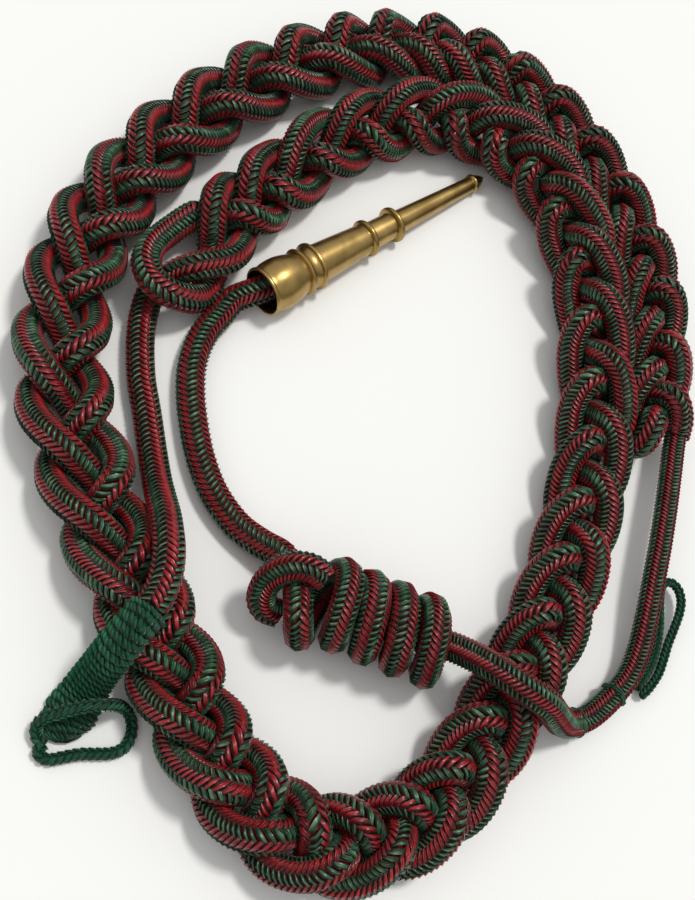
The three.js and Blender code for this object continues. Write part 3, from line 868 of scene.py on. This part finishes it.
sleeveInset = 0.0003  # the stitches' middle lies this far inside the sleeve's outer size
firstStitch = 0.0002
sleeveLine = frameCord(sleeveSections[:, :3], samplesOnShortRoutes)
sleeveAhead = np.gradient(sleeveLine["place"], axis=0)
levelSide = np.column_stack([-sleeveAhead[:, 1], sleeveAhead[:, 0], 0 * sleeveAhead[:, 0]])
sleeveLine["side"] = levelSide / np.linalg.norm(levelSide, axis=1, keepdims=True)
sleeveAhead /= np.linalg.norm(sleeveAhead, axis=1, keepdims=True)
sleeveLine["up"] = np.cross(sleeveAhead, sleeveLine["side"])
for size, column in (("wide", 3), ("high", 4)):
    halfSizes = np.interp(sleeveLine["at"], np.arange(len(sleeveSections)), sleeveSections[:, column])
    sleeveLine[size] = halfSizes - sleeveInset
sleeveEnd = float(sleeveLine["length"][-1])
braidedPiece("green_sleeve", sleeveStitch, sleeveLine, firstStitch, sleeveEnd, rollSleeve)
print("sleeve worked")

# Brass tip: distance from the mouth and radius, in millimetres, from the bottom of the bore up to
# the mouth, then down the outside to the point
tipProfile = [
    (22, 0), (22, 3.6), (13, 3.7), (12, 4.7), (8, 5.6), (4, 6.0), (1, 5.92), (0.35, 5.95), (0.08, 6.08),
    (0, 6.28), (0.08, 6.5), (0.35, 6.66), (0.75, 6.66), (1.05, 6.5), (1.2, 6.28), (1.5, 6.28),
    (2.2, 6.48), (3.2, 6.7), (4.4, 6.86), (5.6, 6.9), (7, 6.84), (8.5, 6.6), (10, 6.25), (11.5, 5.82),
    (12.3, 5.6), (12.5, 6.1), (12.7, 6.4), (13.0, 6.52), (13.3, 6.4), (13.5, 6.1), (13.7, 5.8),
    (14.2, 5.62), (15, 5.55), (15.7, 5.62), (16.1, 5.8), (16.25, 6.2), (16.45, 6.5), (16.8, 6.6),
    (17.15, 6.5), (17.35, 6.2), (17.45, 5.6), (17.7, 5.36), (26, 4.9), (35.3, 4.32), (35.45, 4.6),
    (35.6, 4.98), (35.85, 5.18), (36.2, 5.24), (36.55, 5.18), (36.8, 4.98), (36.95, 4.4), (37.15, 3.84),
    (45.1, 3.72), (45.25, 4.2), (45.4, 4.75), (45.65, 5.0), (46, 5.06), (46.35, 5.0), (46.6, 4.75),
    (46.75, 4), (46.95, 3.27), (60, 2.8), (76.9, 2.2), (77.05, 2.4), (77.25, 2.64), (77.6, 2.72),
    (77.95, 2.64), (78.15, 2.4), (78.35, 2.22), (79.2, 2), (80.8, 1.3), (82.2, 0.35), (82.6, 0),
]


def turnTip():
    turned = bmesh.new()
    verts = [turned.verts.new((radius / 1000, 0, along / 1000)) for along, radius in tipProfile]
    edges = [turned.edges.new(pair) for pair in zip(verts, verts[1:])]
    bmesh.ops.spin(turned, geom=verts + edges, cent=(0, 0, 0), axis=(0, 0, 1), dvec=(0, 0, 0),
                   angle=2 * math.pi, steps=tip["segments"], use_merge=True, use_duplicate=False)
    bmesh.ops.remove_doubles(turned, verts=turned.verts, dist=mergeDistance)
    bmesh.ops.recalc_face_normals(turned, faces=turned.faces)
    along = turned.verts.layers.float.new("along")
    for vert in turned.verts:
        vert[along] = vert.co.z
    for face in turned.faces:
        face.smooth = True
    turn = Vector((0, 0, 1)).rotation_difference(Vector(tip["axis"])).to_matrix().to_4x4()
    turned.transform(Matrix.Translation(tip["mouth"] - wholeMiddle) @ turn)
    mesh = bpy.data.meshes.new("ferret")
    turned.to_mesh(mesh)
    turned.free()
    mesh.set_sharp_from_angle(angle=math.radians(tip["sharpAngle"]))
    mesh.materials.append(materials["brass"])
    addPiece("ferret", mesh, "ferret")


turnTip()
print("tip turned")

# Table and soft daylight, brightest from the right
studio = {
    "table": "#F4F4F1",
    "tableReach": 20,  # from its middle to an edge, so that no edge shows from low down
    "tableRoughness": 0.8,
    "tableGloss": 0.2,
    "skyTint": (0.98, 0.99, 1, 1),
    "horizon": 0.28,  # strength of the light from the side
    "overhead": 0.78,  # and from straight above
    "sun": 1.6,
    "sunTint": (1, 0.985, 0.96),
    "sunAngle": 11,  # degrees that the window spans, which softens the shadows
    "sunHeight": 68,  # degrees above the table
    "sunBearing": 28,  # degrees from +X towards +Y
}


def setStudio():
    table = bmesh.new()
    bmesh.ops.create_grid(table, x_segments=1, y_segments=1, size=studio["tableReach"])
    mesh = bpy.data.meshes.new("table")
    table.to_mesh(mesh)
    table.free()
    mesh.materials.append(newMaterial("pale_table", {
        "Base Color": colour(studio["table"]),
        "Roughness": studio["tableRoughness"],
        "Specular IOR Level": studio["tableGloss"],
    })[0])
    top = bpy.data.objects.new("table", mesh)
    bpy.context.scene.collection.objects.link(top)
    world = bpy.data.worlds.new("room")
    world.use_nodes = True
    sky = world.node_tree
    place = addNode(sky, "ShaderNodeTexCoord")
    parts = addNode(sky, "ShaderNodeSeparateXYZ", {}, {"Vector": place.outputs["Generated"]})
    strength = addNode(sky, "ShaderNodeMapRange", {"To Min": studio["horizon"], "To Max": studio["overhead"]},
                       {"Value": parts.outputs["Z"]})
    background = sky.nodes["Background"]
    background.inputs["Color"].default_value = studio["skyTint"]
    sky.links.new(strength.outputs["Result"], background.inputs["Strength"])
    bpy.context.scene.world = world
    lamp = bpy.data.lights.new("window", "SUN")
    lamp.angle = math.radians(studio["sunAngle"])
    lamp.energy = studio["sun"]
    lamp.color = studio["sunTint"]
    window = bpy.data.objects.new("window", lamp)
    height = math.radians(studio["sunHeight"])
    bearing = math.radians(studio["sunBearing"])
    level = math.cos(height)
    towards = Vector((level * math.cos(bearing), level * math.sin(bearing), math.sin(height)))
    window.rotation_euler = towards.to_track_quat("Z", "Y").to_euler()
    bpy.context.scene.collection.objects.link(window)
    bpy.context.scene.view_settings.view_transform = "Standard"


setStudio()
